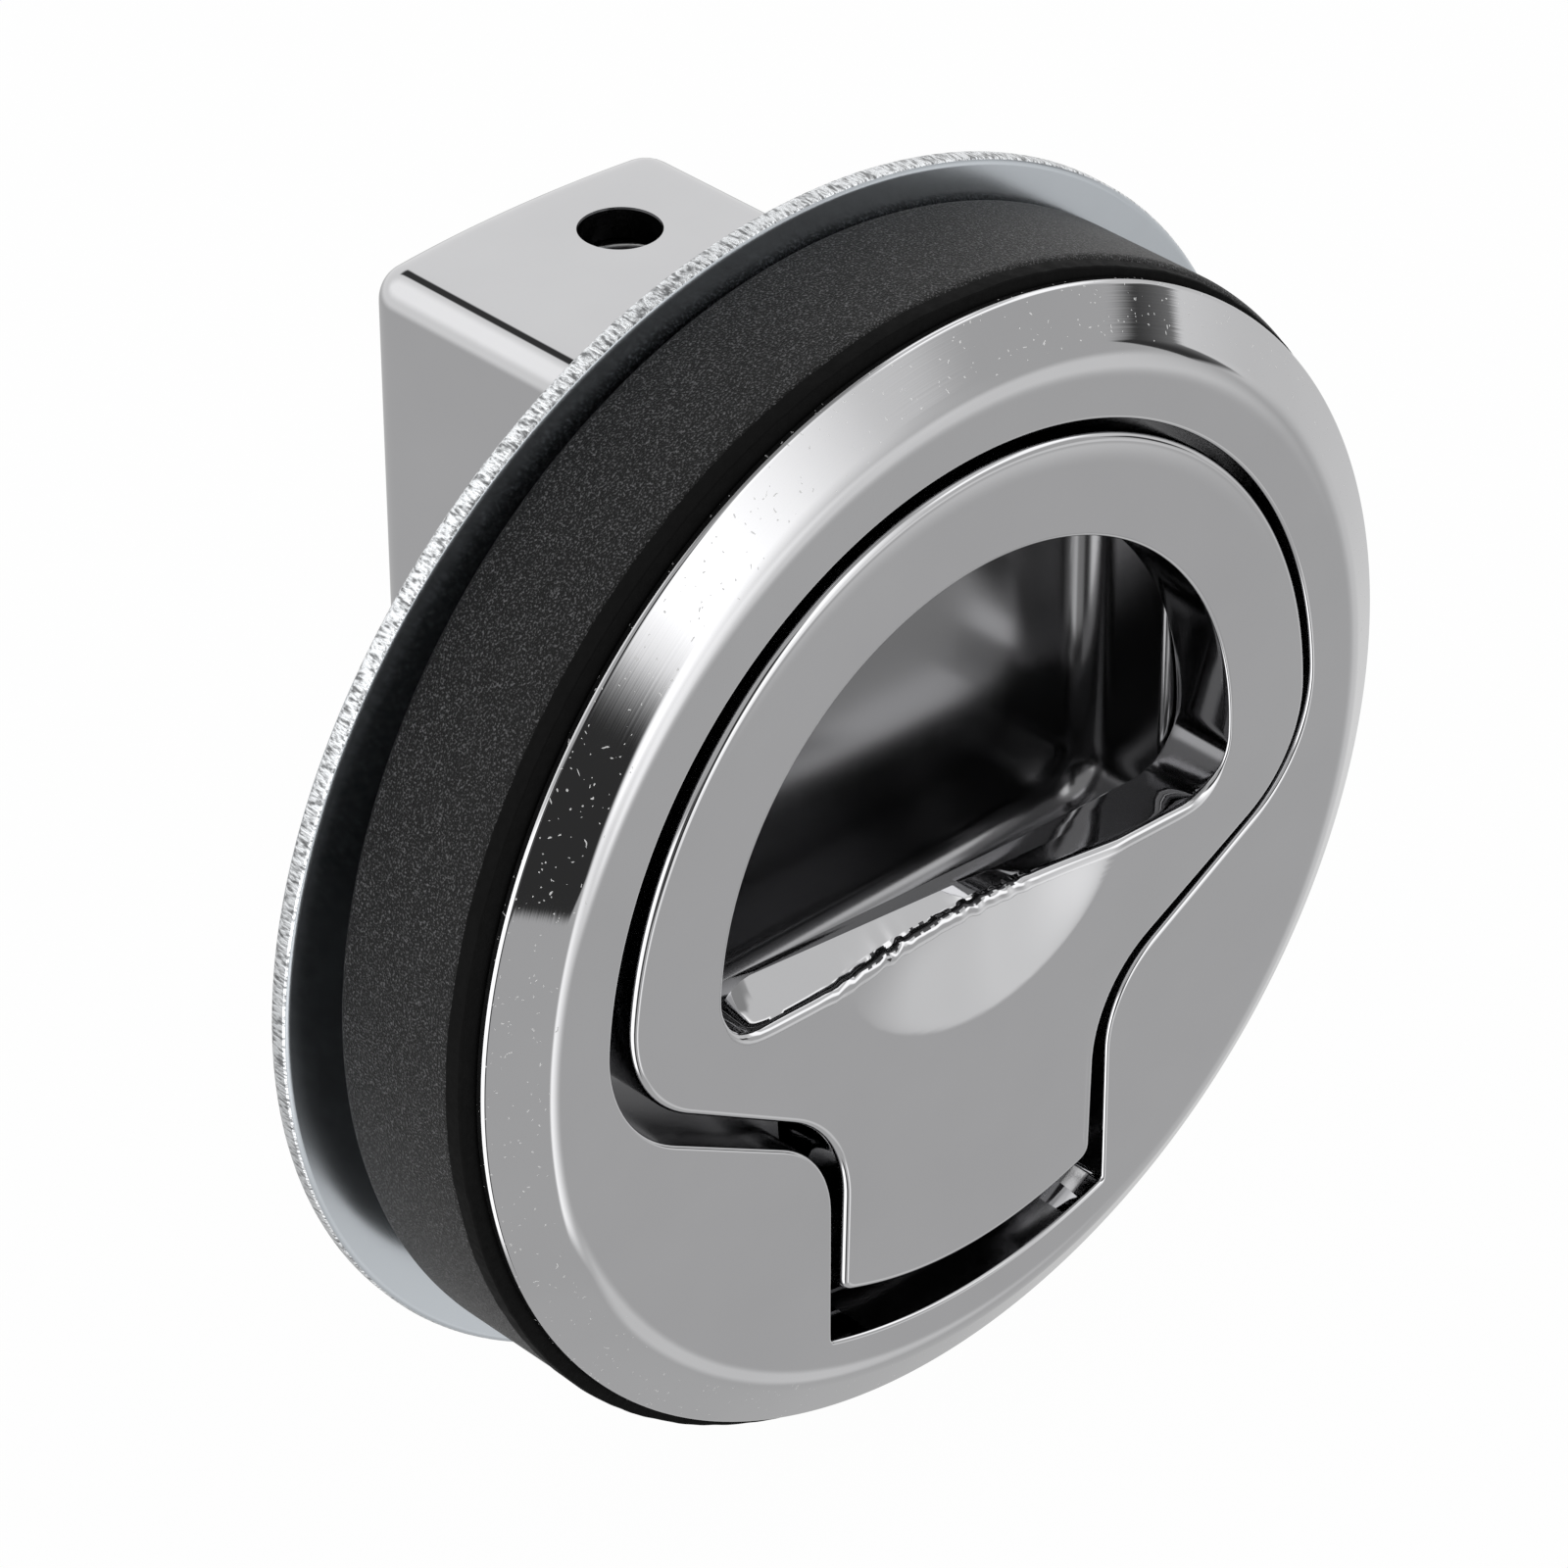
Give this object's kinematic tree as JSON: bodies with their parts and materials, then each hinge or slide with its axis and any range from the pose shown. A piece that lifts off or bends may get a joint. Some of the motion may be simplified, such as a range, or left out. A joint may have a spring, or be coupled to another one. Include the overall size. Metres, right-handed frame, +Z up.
{
  "type": "flush-pull hatch latch",
  "caption": "Round flush slam latch for a boat hatch: a keyhole-shaped pull handle with a finger hole swings out of a chromed bezel and draws back a bevelled bolt.",
  "frame": {"origin": "on the latch's axis, in the plane where the gasket lies on the panel's front surface", "axes": "+X right and +Z up the face towards the handle's finger end, seen from the front; -Y points out of the hatch, +Y into the boat along the latch's axis"},
  "size_m": [0.0673, 0.0345, 0.0698],
  "materials": {
    "chrome_casting": "mirror-polished chrome on die-cast zinc",
    "chrome_handle": "mirror-polished chrome on die-cast zinc",
    "steel_pin": "ground steel",
    "plated_bolt": "chrome on die-cast zinc, a little duller on the sliding faces",
    "spring_steel": "drawn stainless wire",
    "gasket_rubber": "cut black rubber sheet",
    "spacer_plastic": "black moulded plastic with a fine spark-eroded grain",
    "zinc_plate": "bluish zinc plating on stamped sheet steel with a sheared edge",
    "zinc_screw": "bluish zinc plating"
  },
  "bodies": {
    "base": {"housing": "chrome_casting", "pivot_pin": "steel_pin", "bolt_spring": "spring_steel", "gasket": "gasket_rubber", "spacer_ring": "spacer_plastic", "back_plate": "zinc_plate", "left_screw": "zinc_screw", "right_screw": "zinc_screw"},
    "handle": {"pull_handle": "chrome_handle"},
    "bolt": {"latch_bolt": "plated_bolt", "guide_pin": "steel_pin"}
  },
  "joints": [
    {"name": "handle_hinge", "type": "hinge", "parent": "base", "child": "handle", "pos_m": [0, 0.001, -0.02], "axis": [1, 0, 0], "range_deg": [0, 30], "stiffness_Nm_per_rad": 0.176, "springref_deg": -21.77},
    {"name": "bolt_slide", "type": "slide", "parent": "base", "child": "bolt", "axis": [0, 0, 1], "range_m": [0, 0.011], "deforming": ["bolt_spring"]}
  ],
  "couplings": [
    {"joint": "handle_hinge", "follows": "bolt_slide", "rad_per_m": 47.59}
  ]
}
